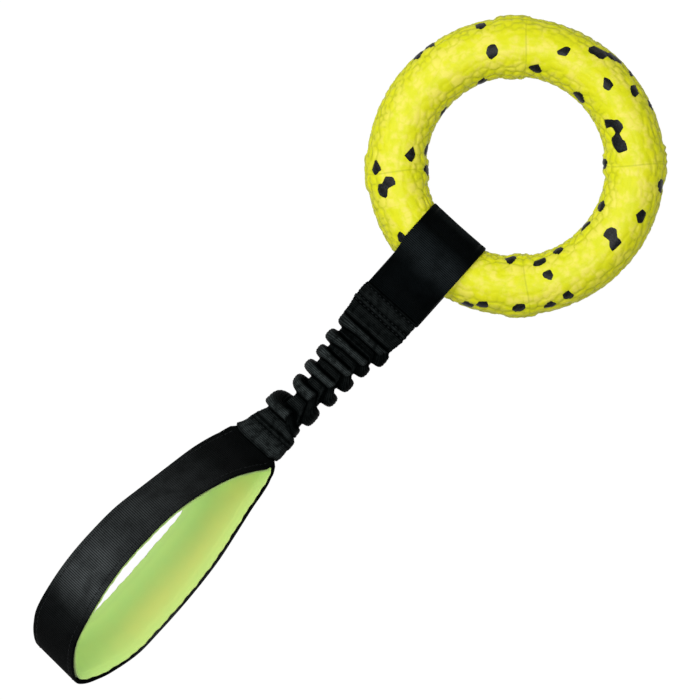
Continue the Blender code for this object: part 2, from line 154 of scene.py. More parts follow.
# Distances from the ring's centre towards the hand
SLEEVE_START = 107.15 * MM
SLEEVE_LENGTH = 56 * MM
CORE_START = 97.5 * MM
CORE_LENGTH = 71 * MM
HANDLE_START = 182 * MM
HANDLE_LENGTH = 133.8 * MM
HANDLE_OPENING = 49 * MM
HANDLE_LEAN = math.radians(38)
HANDLE_SHIFT = 3.8 * MM
# How far the band swings round at the tip, as a share of the distance from its middle
TIP_SLANT = 0.02
TIP_SLANT_LENGTH = 16 * MM
WEBBING_WIDTH = 32 * MM
# How wide the band is to the left and the right of its middle, in the cuff, where it is
# folded in, and beyond: distances from the ring's centre and half widths, in millimetres
LOOP_HALF_WIDTHS = (
    (169, 10.2, 10.2),
    (174, 11.6, 11.2),
    (177, 14.4, 12.8),
    (179.5, 16.2, 14.9),
    (183.0, 16.1, 15.8),
    (186.0, 16.0, 16.0),
)
LINING_START = -2 * MM
LINING_THICKNESS = 2.6 * MM
LINING_GAP = 0.1 * MM
LINING_LEFT_HALF = 15 * MM
STITCH_INSET = 3 * MM
STITCH_LENGTH = 2.3 * MM
CUFF_STITCH_LENGTH = 1.9 * MM
# From one stitch to the next, over a stitch's length
STITCH_SPACING = 1.18
CUFF_STITCH_SPACING = 1.25
THREAD_RADIUS = 0.23 * MM

# The hand loop from its neck to its tip: along the loop, opening, lean of the upper ply,
# lean of the lower ply, lift of the lower edge and sideways drift, as shares of its length,
# of half its opening, of its lean twice and of the webbing's width twice
HANDLE_SHARES = (
    (0, 0.11, 0.84, 0.84, 0.055, 0),
    (0.022, 0.18, 0.98, 0.8, 0.055, 0.024),
    (0.045, 0.275, 1.06, 0.84, 0.055, 0.035),
    (0.085, 0.404, 1.18, 0.9, 0.03, 0.057),
    (0.14, 0.52, 1.28, 0.88, 0.01, 0.087),
    (0.239, 0.706, 1.4, 0.86, 0, 0.109),
    (0.348, 0.88, 1.42, 0.88, 0, 0.116),
    (0.457, 0.96, 1.32, 0.79, 0, 0.132),
    (0.567, 0.99, 1.28, 0.77, 0, 0.133),
    (0.676, 0.964, 1.2, 0.77, 0.002, 0.122),
    (0.785, 0.878, 1.12, 0.78, 0.012, 0.098),
    (0.89, 0.67, 1.06, 0.84, 0.05, 0.094),
    (0.945, 0.45, 1.02, 0.92, 0.08, 0.072),
    (0.979, 0.23, 0.99, 0.96, 0.135, 0.046),
    (0.995, 0, 0.98, 0.98, 0.215, 0.032),
)

ring_low, ring_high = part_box("foam_ring")
RING_Y = (ring_low.y + ring_high.y) / 2
RING_HEIGHT = (ring_low.z + ring_high.z) / 2
rng = np.random.default_rng(SEED)


def along(reach):
    """The y of a place at this distance from the ring's centre towards the hand."""
    return RING_Y - reach


def ease(share):
    share = np.clip(share, 0, 1)
    return share * share * (3 - 2 * share)


def mixed(low, high, share):
    return low + (high - low) * share


def bell(distance, half_width):
    return np.exp(-((distance / half_width) ** 2))


def unit(vectors):
    return vectors / np.linalg.norm(vectors, axis=-1, keepdims=True)


def lengths_along(points):
    """How far each point is along the line through them all."""
    steps = np.linalg.norm(np.diff(points, axis=0), axis=1)
    return np.concatenate([[0], np.cumsum(steps)])


def columns_at(wanted, known, values):
    """Every column of values, which belong to the known places, read at the wanted ones."""
    return np.stack([np.interp(wanted, known, column) for column in values.T], axis=-1)


# Making and finishing meshes


def places_of(piece):
    spots = np.empty(len(piece.data.vertices) * 3)
    piece.data.vertices.foreach_get("co", spots)
    return spots.reshape(-1, 3)


def move_to(piece, spots):
    piece.data.vertices.foreach_set("co", np.asarray(spots, dtype=np.float32).ravel())
    piece.data.update()


def store(piece, name, values):
    """Keeps one value a vertex in an attribute, for the piece's material."""
    attribute = piece.data.attributes.new(name, "FLOAT", "POINT")
    attribute.data.foreach_set("value", np.asarray(values, dtype=np.float32))


def start(name):
    """Names the primitive that was just added and puts its place into its mesh."""
    piece = bpy.context.object
    piece.name = name
    piece.data.name = name
    bpy.ops.object.transform_apply(location=True, rotation=True, scale=True)
    return piece


def smooth(piece, degrees=180):
    bpy.ops.object.select_all(action="DESELECT")
    piece.select_set(True)
    bpy.context.view_layer.objects.active = piece
    bpy.ops.object.shade_smooth_by_angle(angle=math.radians(degrees))


def skin(name, around, rows, form, open_ends=True):
    """A closed skin from a grid. form(a, b) gives the places for shares a around it and b
    along it, the lengths in metres that the weave's coordinates run over, and any named
    values to keep for its material. Open ends are filled."""
    bpy.ops.mesh.primitive_grid_add(x_subdivisions=around, y_subdivisions=rows, size=1)
    piece = start(name)
    flat = places_of(piece)
    spots, width, length, *marks = form(flat[:, 0] + 0.5, flat[:, 1] + 0.5)
    for mark in marks:
        store(piece, *mark)
    weave = piece.data.uv_layers.active
    weave.name = "weave"
    shares = np.empty(len(weave.data) * 2)
    weave.data.foreach_get("uv", shares)
    shares = shares.reshape(-1, 2) * (width, length)
    weave.data.foreach_set("uv", shares.astype(np.float32).ravel())
    move_to(piece, spots)
    bpy.ops.object.mode_set(mode="EDIT")
    bpy.ops.mesh.select_all(action="SELECT")
    bpy.ops.mesh.remove_doubles(threshold=MERGE_DISTANCE)
    if open_ends:
        bpy.ops.mesh.select_all(action="DESELECT")
        bpy.ops.mesh.select_mode(type="EDGE")
        bpy.ops.mesh.select_non_manifold()
        bpy.ops.mesh.fill_holes(sides=0)
    bpy.ops.mesh.select_all(action="SELECT")
    bpy.ops.mesh.normals_make_consistent(inside=False)
    bpy.ops.object.mode_set(mode="OBJECT")
    return piece


def finish(piece, material, slot, body, *nodes):
    """Gives a piece its material, the body that it rides on, unless it is to be blended
    between two, and the CAD nodes that it stands for."""
    piece.data.materials.clear()
    piece.data.materials.append(material)
    if body:
        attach(piece, body)
    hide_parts(*nodes)


def blend(piece, first, second, begin, end, x=0.0, z=BUNGEE_HEIGHT):
    """Puts the piece's place into its mesh. The two bodies and the two distances from the
    ring's centre that it is given are not used."""
    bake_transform(piece)


# Paths that webbing follows


class Path:
    """A line through many close points, with the webbing's width and outward directions."""

    def __init__(self, points, widths):
        self.points = points
        self.widths = widths
        self.reach = lengths_along(points)
        self.length = self.reach[-1]
        tangents = unit(np.gradient(points, self.reach, axis=0))
        self.outs = unit(np.cross(tangents, widths))

    def at(self, reach):
        """Points, width directions and outward directions at these lengths along it."""
        tables = (self.points, self.widths, self.outs)
        points, widths, outs = (columns_at(reach, self.reach, table) for table in tables)
        return points, unit(widths), unit(outs)


def bezier(places, count):
    """A smooth curve from the first place to the last, drawn towards those between."""
    t = np.linspace(0, 1, count)[:, None]
    while len(places) > 1:
        places = [mixed(first, second, t) for first, second in zip(places, places[1:])]
    return places[0]


def joined(*runs):
    """Runs of points end to end, without the points that two runs share."""
    return np.concatenate([runs[0], *(run[1:] for run in runs[1:])])


def strap_path():
    """The strap's middle line, from its lower tail in the cuff, under the ring's tube,
    round its inner side, over it and back to its upper tail."""
    half = WEBBING_THICKNESS / 2
    radius = TUBE_RADIUS + STRAP_SLACK + half
    inner = math.sqrt((RING_RADIUS - TUBE_RADIUS) ** 2 - (WEBBING_WIDTH / 2) ** 2)
    inner_centre = inner + TUBE_RADIUS + STRAP_PRESS
    neck = np.array([along(NECK_REACH), BUNGEE_HEIGHT])
    apart = half + GAP / 2

    def arc(centre, begin, end):
        angle = np.radians(np.linspace(begin, end, ARC_STEPS))[:, None]
        spot = np.array([along(centre), RING_HEIGHT])
        return spot + radius * np.concatenate([np.cos(angle), np.sin(angle)], axis=1)

    def slope(side, leave_degrees):
        """From the tube to the neck: down from the crown or up from under the tube."""
        angle = math.radians(leave_degrees)
        leave = arc(RING_RADIUS, side * (180 - leave_degrees), 0)[0]
        tangent = np.array([-math.sin(angle), -side * math.cos(angle)])
        end = neck + [apart, side * apart]
        third = np.linalg.norm(leave - end) / 3
        line = bezier([leave, leave + tangent * third, end + [third, 0], end], ARC_STEPS)
        return joined(line, np.array([end, end - [TAIL_LENGTH + apart + GAP, 0]]))

    ends = (along(RING_RADIUS), along(inner_centre))
    flat = joined(
        slope(-1, LOWER_LEAVE)[::-1],
        arc(RING_RADIUS, LOWER_LEAVE - 180, -90),
        np.array([[y, RING_HEIGHT - radius] for y in ends]),
        arc(inner_centre, -90, 90),
        np.array([[y, RING_HEIGHT + radius] for y in reversed(ends)]),
        arc(RING_RADIUS, 90, 180 - UPPER_LEAVE),
        slope(1, UPPER_LEAVE),
    )
    points = np.column_stack([np.zeros(len(flat)), flat])
    return even(points, np.tile([1.0, 0, 0], (len(points), 1)))


def even(points, widths):
    """The same line with points at an even spacing, which smooths its directions."""
    reach = lengths_along(points)
    wanted = np.linspace(0, reach[-1], int(reach[-1] / PATH_SPACING))
    points, widths = (columns_at(wanted, reach, values) for values in (points, widths))
    window = np.hanning(9)[1:-1]
    window /= window.sum()
    margin = len(window) // 2
    for values in (points, widths):
        for column in values.T:
            column[margin:-margin] = np.convolve(column, window, mode="valid")
    return Path(points, widths)


def handle_axis(row):
    """The middle of the hand loop's opening at one row of its shares."""
    share, opening, _, lower_lean, lift, drift = row
    lean = HANDLE_LEAN * lower_lean
    rest = WEBBING_WIDTH / 2 * math.sin(lean) + WEBBING_THICKNESS / 2 * math.cos(lean)
    rise = opening * HANDLE_OPENING / 2 * math.cos(HANDLE_LEAN)
    x = -HANDLE_SHIFT - drift * WEBBING_WIDTH
    z = rest + rise + lift * WEBBING_WIDTH
    return np.array([x, along(HANDLE_START + share * HANDLE_LENGTH), z])


LOOP_NECK = handle_axis(HANDLE_SHARES[0])


def through(rows, count):
    """A smooth curve through rows of numbers, with count points between each two."""
    rows = np.asarray(rows, dtype=float)
    padded = np.concatenate([rows[:1], rows, rows[-1:]])
    t = np.arange(count)[:, None] / count
    runs = []
    for first, second, third, fourth in zip(padded, padded[1:], padded[2:], padded[3:]):
        bend = 2 * first - 5 * second + 4 * third - fourth
        twist = 3 * second - first - 3 * third + fourth
        runs.append(0.5 * (2 * second + (third - first) * t + bend * t**2 + twist * t**3))
    return np.concatenate([*runs, rows[-1:]])


def handle_path():
    """The hand loop's middle line, from its upper tail in the cuff round the tip to its
    lower tail."""
    opens = np.array([-math.sin(HANDLE_LEAN), 0, math.cos(HANDLE_LEAN)])

    def ply(side, lean_column):
        """Places and leans of the upper or lower ply, from its tail to the tip."""
        rows = [
            [*(LOOP_NECK + [0, inward, 0] + opens * side * apart), HANDLE_LEAN * lean]
            for inward, apart, lean in LOOP_TAILS
        ]
        for row in HANDLE_SHARES:
            place = handle_axis(row) + side * opens * (HANDLE_OPENING / 2) * row[1]
            rows.append([*place, HANDLE_LEAN * row[lean_column]])
        return rows

    rows = through([*ply(1, 2), *ply(-1, 3)[-2::-1]], 24)
    lean = rows[:, 3]
    from_tip = rows[:, 1] - along(HANDLE_START + HANDLE_LENGTH)
    slant = -TIP_SLANT * ease(1 - from_tip / TIP_SLANT_LENGTH)
    widths = np.stack([np.cos(lean), slant, np.sin(lean)], axis=1)
    return even(rows[:, :3], widths)


# How much painted sheen the webbing's ribs get along it: pixels from the ring's centre
# and shares
STRAP_PAINTED_SHEEN = (
    (78, 0.80), (83, 0.45), (90, 0.08), (104, 0.08), (113, 0.34), (123, 0.56), (135, 0.46),
    (148, 0.14), (180, 0.10),
)
LOOP_PAINTED_SHEEN = (
    (380, 0.03), (420, 0.06), (445, 0.22), (480, 0.40), (540, 0.56), (575, 0.92), (593, 1.0),
    (612, 0.56), (630, 0.12), (655, 0.04),
)

# Across the webbing: places as distances from an edge, closer where the stitching pulls
EDGE_PLACES = (0.12, 0.5, 1.2, 2.1, 2.6, 3.0, 3.4, 3.9, 5.2, 7.4, 10.0, 13.0)


def band_section():
    """The section of webbing: distances from the middle over half the width, and levels
    over half the thickness, once round. Its lower half is its upper half turned over."""
    face = [1 - place * MM / (WEBBING_WIDTH / 2) for place in EDGE_PLACES]
    across = [*face, 0, *(-share for share in reversed(face))]
    edge = [(-1, 0.72), (-1.02, 0), (-1, -0.72)]
    upper = np.array([*((share, 1) for share in across), *edge])
    return np.concatenate([upper, -upper, upper[:1]])


def band(name, path, rows, girth, shape):
    """A closed band along a path. shape(reach, across, level, points) gives how far its
    skin lies to the side, outward and along the toy, and a named value for its material."""
    section = band_section()
    around = len(section) - 1

    def form(a, b):
        column = np.clip(np.rint(a * around).astype(int), 0, around)
        across, level = section[column].T
        reach = b * path.length
        points, widths, outs = path.at(reach)
        aside, height, drawn, mark = shape(reach, across, level, points)
        spots = points + widths * aside[:, None] + outs * height[:, None]
        spots[:, 1] += drawn
        return spots, girth, path.length, mark

    piece = skin(name, around, rows, form)
    smooth(piece)
    return piece


def webbing(name, path, half_width, sheen_table, pitch, pulls=0.0, bow=None):
    """Webbing along a path, with its crosswise ribs. half_width(points) gives the half
    widths on the two sides of the path, sheen_table is a table of pixels from the ring's
    centre and how much painted sheen the ribs get there, pulls is the depth of its two
    stitched lines, and bow(points, across) gives how far its middle is drawn along the toy."""

    def shape(reach, across, level, points):
        left, right = half_width(points)
        half = (right + left) / 2
        inward = (1 - np.abs(across)) * half
        stitched = bell(inward - STITCH_INSET, STITCH_PULL_WIDTH)
        rib = RIB_RISE * np.cos(2 * math.pi * reach / pitch) * (1 - stitched)
        rib = rib * np.clip(inward / RIB_FADE, 0.25, 1)
        height = level * (WEBBING_THICKNESS / 2 + rib - pulls * stitched)
        # Painted sheen: the ribs are painted paler as the table gives, most in the webbing's
        # middle
        sheen_share = np.interp((RING_Y - points[:, 1]) / PIXEL, *zip(*sheen_table))
        sheen_share *= 1 - 0.3 * across**2
        drawn = bow(points, across) if bow else 0
        return (right - left) / 2 + across * half, height, drawn, ("painted_sheen", sheen_share)

    rows = int(path.length / pitch * ROWS_PER_RIB)
    return band(name, path, rows, 2 * (WEBBING_WIDTH + WEBBING_THICKNESS), shape)


# Stitches


def stitches(name, lines, length=STITCH_LENGTH, spacing=STITCH_SPACING):
    """Rows of lockstitch. Each line is points on the surface and the outward directions
    there. One stitch is modelled and copied along the lines."""
    bpy.ops.mesh.primitive_uv_sphere_add(segments=8, ring_count=6, radius=1)
    sphere = start(name + "_unit")
    shape = places_of(sphere) * (length / 2, THREAD_RADIUS, THREAD_RADIUS)
    # Both ends of a stitch dip into the webbing
    lift = (np.cos(shape[:, 0] / length * math.pi) - 0.75) * THREAD_RADIUS
    faces = [tuple(face.vertices) for face in sphere.data.polygons]
    bpy.data.objects.remove(sphere)
    spots, polygons = [], []
    for points, outs in lines:
        reach = lengths_along(points)
        count = max(1, int(reach[-1] / (length * spacing)))
        for i in range(count):
            middle = (i + 0.5) / count * reach[-1]
            spot, before, after = (
                columns_at(middle + off, reach, points) for off in (0, -length / 2, length / 2)
            )
            way = unit(after - before)
            side = unit(np.cross(columns_at(middle, reach, outs), way))
            axes = np.array([way, side, np.cross(way, side)])
            base = len(spots) * len(shape)
            spots.append(spot + shape @ axes + lift[:, None] * axes[2])
            polygons.extend(tuple(base + k for k in face) for face in faces)
    mesh = bpy.data.meshes.new(name)
    mesh.from_pydata(np.concatenate(spots).tolist(), [], polygons)
    piece = bpy.data.objects.new(name, mesh)
    bpy.context.scene.collection.objects.link(piece)
    smooth(piece, 80)
    return piece


# The foam ring


def photo_place(pixel):
    """The row's x and y at a pixel of the photograph."""
    right, up = pixel[0] - RING_PIXEL[0], RING_PIXEL[1] - pixel[1]
    cos, sin = math.cos(PHOTO_TURN), math.sin(PHOTO_TURN)
    return PIXEL * (right * cos - up * sin), RING_Y + PIXEL * (right * sin + up * cos)


def on_tube(turn, angle):
    """Points at these angles round the ring and round its tube, from the ring's centre."""
    reach = MOULDED_RADIUS + MOULDED_TUBE * np.cos(angle)
    high = MOULDED_TUBE * np.sin(angle)
    return np.stack([reach * np.cos(turn), reach * np.sin(turn), high], axis=-1)


def bead_centres():
    """Where the beads meet the mould: first the black ones that show, then others at an
    even pitch, each the one of a few random places that is furthest from the rest."""
    centres = []
    for pixel in BLACK_BEADS:
        x, y = photo_place(pixel)
        y -= RING_Y
        share = (math.hypot(x, y) - MOULDED_RADIUS) / MOULDED_TUBE
        angle = math.acos(min(max(share, -0.985), 0.985))
        centres.append(on_tube(math.atan2(y, x), angle))
    area = 4 * math.pi**2 * RING_RADIUS * TUBE_RADIUS
    count = int(area / (BEAD_PITCH**2 * 0.9))
    centres = np.array(centres)
    while len(centres) < count:
        turn = rng.uniform(-math.pi, math.pi, BEAD_TRIES * 3)
        angle = rng.uniform(-math.pi, math.pi, BEAD_TRIES * 3)
        width = (RING_RADIUS + TUBE_RADIUS * np.cos(angle)) / (RING_RADIUS + TUBE_RADIUS)
        kept = rng.uniform(0, 1, len(turn)) < width
        tries = on_tube(turn[kept], angle[kept])[:BEAD_TRIES]
        apart = np.linalg.norm(tries[:, None] - centres[None], axis=2)
        apart[:, : len(BLACK_BEADS)] -= BLACK_BEAD_EXTRA
        apart = apart.min(axis=1)
        centres = np.concatenate([centres, tries[apart.argmax()][None]])
    black = np.zeros(len(centres), dtype=bool)
    black[: len(BLACK_BEADS)] = True
    unseen = np.flatnonzero(centres[:, 2] < -TUBE_RADIUS * 0.2)
    black[rng.choice(unseen, UNSEEN_BLACK_BEADS, replace=False)] = True
    return centres, black


def nearest(centres, spots, count):
    """For each spot, the numbers of its nearest centres and how far they are."""
    tree = kdtree.KDTree(len(centres))
    for i, centre in enumerate(centres):
        tree.insert(centre, i)
    tree.balance()
    found = [tree.find_n(spot, count) for spot in spots]
    return [np.array([[entry[i] for entry in near] for near in found]) for i in (1, 2)]


def make_ring(material):
    bpy.ops.mesh.primitive_torus_add(
        major_segments=RING_STEPS,
        minor_segments=TUBE_STEPS,
        major_radius=MOULDED_RADIUS,
        minor_radius=MOULDED_TUBE,
    )
    ring = start("bead_foam_ring")
    spots = places_of(ring)
    turn = np.arctan2(spots[:, 1], spots[:, 0])
    across = np.hypot(spots[:, 0], spots[:, 1]) - MOULDED_RADIUS
    outward = np.stack([across * np.cos(turn), across * np.sin(turn), spots[:, 2]], axis=1)
    outward /= MOULDED_TUBE
    side = np.abs(across) / MOULDED_TUBE

    centres, black = bead_centres()
    numbers, distances = nearest(centres, spots, 2)
    near, far = centres[numbers[:, 0]], centres[numbers[:, 1]]
    between = np.linalg.norm(near - far, axis=1)
    border = (distances[:, 1] ** 2 - distances[:, 0] ** 2) / (2 * between)
    tone = rng.uniform(0, 1, len(centres))
    _, to_black = nearest(centres[black], spots, 1)
    _, to_yellow = nearest(centres[~black], spots, 1)

    rise = mixed(BEAD_RISE_CROWN, BEAD_RISE_SIDE, ease(side * 1.3 - 0.3))
    dome = 1 - (1 - np.clip(border / BEAD_SHOULDER, 0, 1)) ** 2
    height = rise * (dome - 0.75) + BEAD_UNEVEN * (tone[numbers[:, 0]] - 0.5) * dome

    def off_from(degrees, bow=0.0):
        """How far round the ring each point is from this image angle."""
        middle = math.radians(degrees) + PHOTO_TURN
        return (turn - middle - bow + math.pi) % (2 * math.pi) - math.pi

    for degrees, half_degrees in COLLARS:
        off = np.abs(off_from(degrees)) * RING_RADIUS
        inside = (math.radians(half_degrees) * (RING_RADIUS + TUBE_RADIUS) - off) / COLLAR_EDGE
        lift = np.where(across > 0, COLLAR_RISE_OUTER, COLLAR_RISE_INNER)
        height += lift * ease(inside + 0.5) * side**4
    from_seam = np.full(len(spots), RING_RADIUS)
    bow = SEAM_BOW * np.sin(np.arctan2(spots[:, 2], across) * 2)
    for degrees in SEAMS:
        off = off_from(degrees, bow) * (RING_RADIUS + across)
        from_seam = np.where(np.abs(off) < np.abs(from_seam), off, from_seam)
    height -= SEAM_DEPTH * bell(from_seam, SEAM_HALF_WIDTH)

    store(ring, "bead_border", border / MM)
    store(ring, "tube_side", ease(side * 1.4 - 0.4))
    store(ring, "bead_tone", tone[numbers[:, 0]])
    store(ring, "from_seam", from_seam / MM)
    store(ring, "black_bead", (to_yellow - to_black)[:, 0] / MM)
    spots = spots + outward * height[:, None]
    move_to(ring, spots + [0, RING_Y, RING_HEIGHT])
    smooth(ring)
    finish(ring, material, "bead_foam", "ring", "foam_ring")


# The gathered sleeve with its two sewn cuffs


# Each row is a place along the sleeve: distances from the ring's centre at its left side,
# on top and at its right side, and its half widths on the left and right, all in pixels of
# the photograph, then half its height in millimetres and how much painted sheen its ribs
# get. Crests of the six folds:
CRESTS = (
    (227, 227, 235, 30.8, 34, 7.8, 0.62),
    (249, 247.5, 254, 30, 27.8, 9.6, 0.80),
    (265.5, 266, 275.5, 26.8, 25.4, 10.4, 0.95),
    (285.5, 285.5, 297, 26, 23.5, 10.4, 1.0),
    (301.5, 306.5, 324, 24.2, 20.6, 10.2, 0.92),
    (335.5, 339.5, 347, 31, 16.5, 9.8, 0.92),
)
# The valleys before, between and after them, and how flat the section is there
VALLEYS = (
    (221, 219, 222.5, 31.5, 30.5, 3.1, 0.36, 0.8),
    (238.5, 237.5, 245, 22.3, 23.5, 4.9, 0.06, 0),
    (258, 257, 265, 20, 17.5, 5.4, 0.24, 0),
    (276, 276, 287.5, 18, 14, 5.5, 0.24, 0),
    (294.5, 296, 308.7, 12.8, 12.2, 5.4, 0.30, 0),
    (314, 322, 337, 12.3, 12.6, 5.6, 0.36, 0),
    (344.5, 348, 350.5, 25, 16.7, 3.4, 0.36, 0.6),
)
# Where each fold's roll ends on its upper right, as an angle round the sleeve
CREASES = ((222, 42), (250, 42), (267, 45), (286, 45), (307, 50), (340, 50))
# One half fold from its valley to its crest: shares of the way at its sides and on top,
# and of the rise, then how much painted sheen its ribs get towards the ring and the hand
FOLD_HALF = (
    (0.1, 0.22, -0.01, 0.24, 0.24),
    (0.2, 0.42, 0.03, 0, 0.02),
    (0.25, 0.5, 0.22, 0, 0.06),
    (0.28, 0.53, 0.44, 0, 0.2),
    (0.34, 0.58, 0.66, 0, 0.48),
    (0.46, 0.68, 0.85, 0.16, 0.85),
    (0.68, 0.82, 0.965, 0.7, 1),
)
# The cuffs: distance from the ring's centre, half widths on the left and right, all in
# pixels, half height in millimetres, and how much painted sheen the ribs get
UPPER_CUFF = (
    (184, 33.4, 32.2, 2.3, 0.1),
    (185.2, 34, 32.8, 3, 0.15),
    (187, 34.2, 32.6, 2.4, 0.04),
    (190, 34.6, 32.6, 2.9, 0.28),
    (196.5, 34.4, 32.6, 3, 0.28),
    (199.5, 33.8, 32.6, 2.2, 0.02),
    (202, 34.8, 33, 3.6, 0.5),
    (204.8, 33.8, 32.4, 2.2, 0),
    (208, 33, 32.8, 2.9, 0.22),
    (216, 31.6, 31.4, 3, 0.16),
)
LOWER_CUFF = (
    (353.5, 29.6, 21, 4.2, 0.55),
    (357, 30.6, 21.2, 2.5, 0.05),
    (359.5, 31.6, 21.6, 3, 0.45),
    (362, 32.4, 21.2, 2.4, 0.1),
    (365.5, 33, 20.8, 3, 0.5),
    (372, 34.6, 21.2, 3, 0.7),
    (377.5, 36.6, 21, 3.2, 0.75),
    (380, 37.6, 20.4, 3, 0.4),
    (382.6, 38.4, 19.4, 3, 0.1),
)


def sleeve_rows():
    """Sizes along the sleeve, closely spaced: distances left, on top and right, half widths
    left and right, all in pixels, half height in millimetres, how flat the section is, and
    how much painted sheen its ribs get."""
    rows = [[t, t, t, left, right, high, 1.0, sheen_share] for t, left, right, high, sheen_share in UPPER_CUFF]

    def valley_row(valley):
        *sizes, sheen_share, flat = valley
        rows.append([*sizes, flat, sheen_share])

    def fold_row(crest, valley, side, top, rise, sheen_share):
        sizes = mixed(np.array(valley[:6]), np.array(crest[:6]), [side, top, side] + 3 * [rise])
        rows.append([*sizes, valley[-1] * (1 - side), sheen_share * crest[-1]])

    for crest, before, after in zip(CRESTS, VALLEYS, VALLEYS[1:]):
        valley_row(before)
        for side, top, rise, sheen_share, _ in FOLD_HALF:
            fold_row(crest, before, side, top, rise, sheen_share)
        fold_row(crest, before, 1, 1, 1, 1)
        for side, top, rise, _, sheen_share in reversed(FOLD_HALF):
            fold_row(crest, after, side, top, rise, sheen_share)
    valley_row(VALLEYS[-1])
    for t, left, right, high, sheen_share in LOWER_CUFF:
        rows.append([*cuff_end(t), left, right, high, 1.0, sheen_share])
    return through(rows, 12)


def cuff_end(t):
    """A place on the lower cuff: its sewn end is drawn back at both sides."""
    drawn = ease((t - 366) / 17)
    return t - 5 * drawn, t, t - 2.5 * drawn


def sleeve_turn(reach):
    """How far the sleeve has turned about the toy's length at this distance."""
    return HANDLE_LEAN * ease((reach - SLEEVE_START) / SLEEVE_LENGTH)


def sleeve_middle(reach):
    """The x and z of the sleeve's middle line."""
    share = ease((reach - SLEEVE_START) / SLEEVE_LENGTH)
    return mixed(0, LOOP_NECK[0], share**1.5), mixed(BUNGEE_HEIGHT, LOOP_NECK[2], share)


SLEEVE_WALL = 1.1 * MM
SLEEVE_AROUND = 112
INNER_ROWS = 60
# The lip where each fold's roll ends on its upper right, and the dent beyond it
CREASE_LIP = 0.45 * MM
CREASE_DENT = 1.7 * MM
# How uneven the cuffs' sewn webbing is
CUFF_LUMPS = 0.16 * MM


def turned(reach, middle_x, middle_z, x, z):
    """Places at x across and z above the middle, which have turned with the sleeve."""
    turn = sleeve_turn(reach)
    cos, sin = np.cos(turn), np.sin(turn)
    return np.column_stack(
        [middle_x + x * cos - z * sin, along(reach), middle_z + x * sin + z * cos]
    )


def sleeve_places(rows, angle):
    """Places on the sleeve for rows of sizes and angles round it, from the right side."""
    left_t, top_t, right_t, left, right, high, flat, _ = rows.T
    cos, sin = np.cos(angle), np.sin(angle)
    power = 2 / mixed(2, 5, flat)
    crease = np.interp(top_t, *zip(*CREASES))
    from_right = np.degrees(np.arccos(np.clip(cos, -1, 1)))
    toward_right = ease((crease - from_right) / (0.75 * crease))
    toward_right = np.where(sin < 0, ease((130 - from_right) / 65), toward_right)
    toward_left = np.where(cos < 0, cos**2, 0)
    t = top_t + (right_t - top_t) * toward_right + (left_t - top_t) * toward_left
    reach = t * PIXEL
    turn = sleeve_turn(reach)
    middle_x, middle_z = sleeve_middle(reach)
    # The sizes come from the photograph, so a turned section is wider than it looks
    seen = np.where(cos > 0, right * PIXEL - middle_x, left * PIXEL + middle_x)
    rise = high * MM * np.sin(turn)
    half = mixed(np.sqrt(np.maximum(seen**2 - rise**2, 0)), seen - 0.87 * rise, flat)
    half /= np.cos(turn)
    x = np.sign(cos) * np.abs(cos) ** power * half
    z = np.sign(sin) * np.abs(sin) ** power * high * MM
    return turned(reach, middle_x, middle_z, x, z)


def make_sleeve(material):
    rows = sleeve_rows()
    reach = lengths_along(sleeve_places(rows, np.full(len(rows), math.pi / 2)))
    length = reach[-1]
    outer_rows = int(length / RIB_PITCH * ROWS_PER_RIB)
    total_rows = outer_rows + INNER_ROWS
    split = outer_rows / total_rows
    outer = columns_at(np.linspace(0, length, 4 * outer_rows), reach, rows)
    inner = inner_rows()

    def sizes_at(share, source):
        return columns_at(np.clip(share, 0, 1), np.linspace(0, 1, len(source)), source)

    def form(a, b):
        angle = 2 * math.pi * a
        outside = b <= split + 1e-9
        sizes = np.where(
            outside[:, None],
            sizes_at(b / split, outer),
            sizes_at((b - split) / (1 - split), inner),
        )
        high, flat = sizes[:, 5], sizes[:, 6]
        spots = sleeve_places(sizes, angle)
        sin, cos = np.sin(angle), np.cos(angle)
        reach_at = b / split * length
        rib = RIB_RISE * np.cos(2 * math.pi * reach_at / RIB_PITCH) * outside
        middle_x, middle_z = sleeve_middle(RING_Y - spots[:, 1])
        outward = np.stack([spots[:, 0] - middle_x, 0 * cos, spots[:, 2] - middle_z], axis=1)
        # Where a fold's roll ends on its upper right, a lip and a dent beyond it
        rolled = ease((high - 6.5) / 3) * outside * (sin > 0)
        past = np.interp(sizes[:, 1], *zip(*CREASES)) - np.degrees(angle)
        dent = CREASE_LIP * bell(past + 4, 5) - CREASE_DENT * bell(past, 26) * ease(past / 6)
        ripple = reach_at / MM
        lumps = np.sin(ripple * 2.9 + 3 * np.sin(angle * 5)) * np.sin(angle * 17 + ripple)
        lumps = CUFF_LUMPS * lumps * flat * outside
        spots = spots + unit(outward) * (rib + lumps + dent * rolled)[:, None]
        # Painted light: pale ribs where a fold faces up and a painted highlight on its crease's
        # lip; painted shade, black, beyond its crease and at its outline
        turn = sleeve_turn(RING_Y - spots[:, 1])
        to_side = cos / (np.where(cos > 0, sizes[:, 4], sizes[:, 3]) * PIXEL / MM)
        to_top = sin / high
        facing_up = np.abs(to_side * np.sin(turn) + to_top * np.cos(turn))
        facing_up = facing_up / np.hypot(to_side, to_top)
        from_right = np.degrees(np.arccos(np.clip(cos, -1, 1)))
        beyond = np.where(sin > 0, ease(past / 6), ease((100 - from_right) / 30))
        raised = ease((high - 5.6) / 2) * outside
        painted_light_share = np.clip(sizes[:, 7], 0, 1) * (1 - 0.85 * beyond * raised)
        painted_light_share = painted_light_share * mixed(ease((facing_up - 0.1) / 0.5), 1, flat)
        painted_light_share = painted_light_share + 0.3 * bell(past + 5, 5) * rolled
        return spots, 90 * MM, length / split, ("painted_sheen", painted_light_share * outside)

    sleeve = skin("gathered_sleeve", SLEEVE_AROUND, total_rows, form, open_ends=False)
    smooth(sleeve)
    finish(sleeve, material, "black_webbing", None, "bungee_sleeve", "upper_cuff", "lower_cuff")
    blend(sleeve, "neck", "bungee_end", SLEEVE_START, SLEEVE_START + SLEEVE_LENGTH)


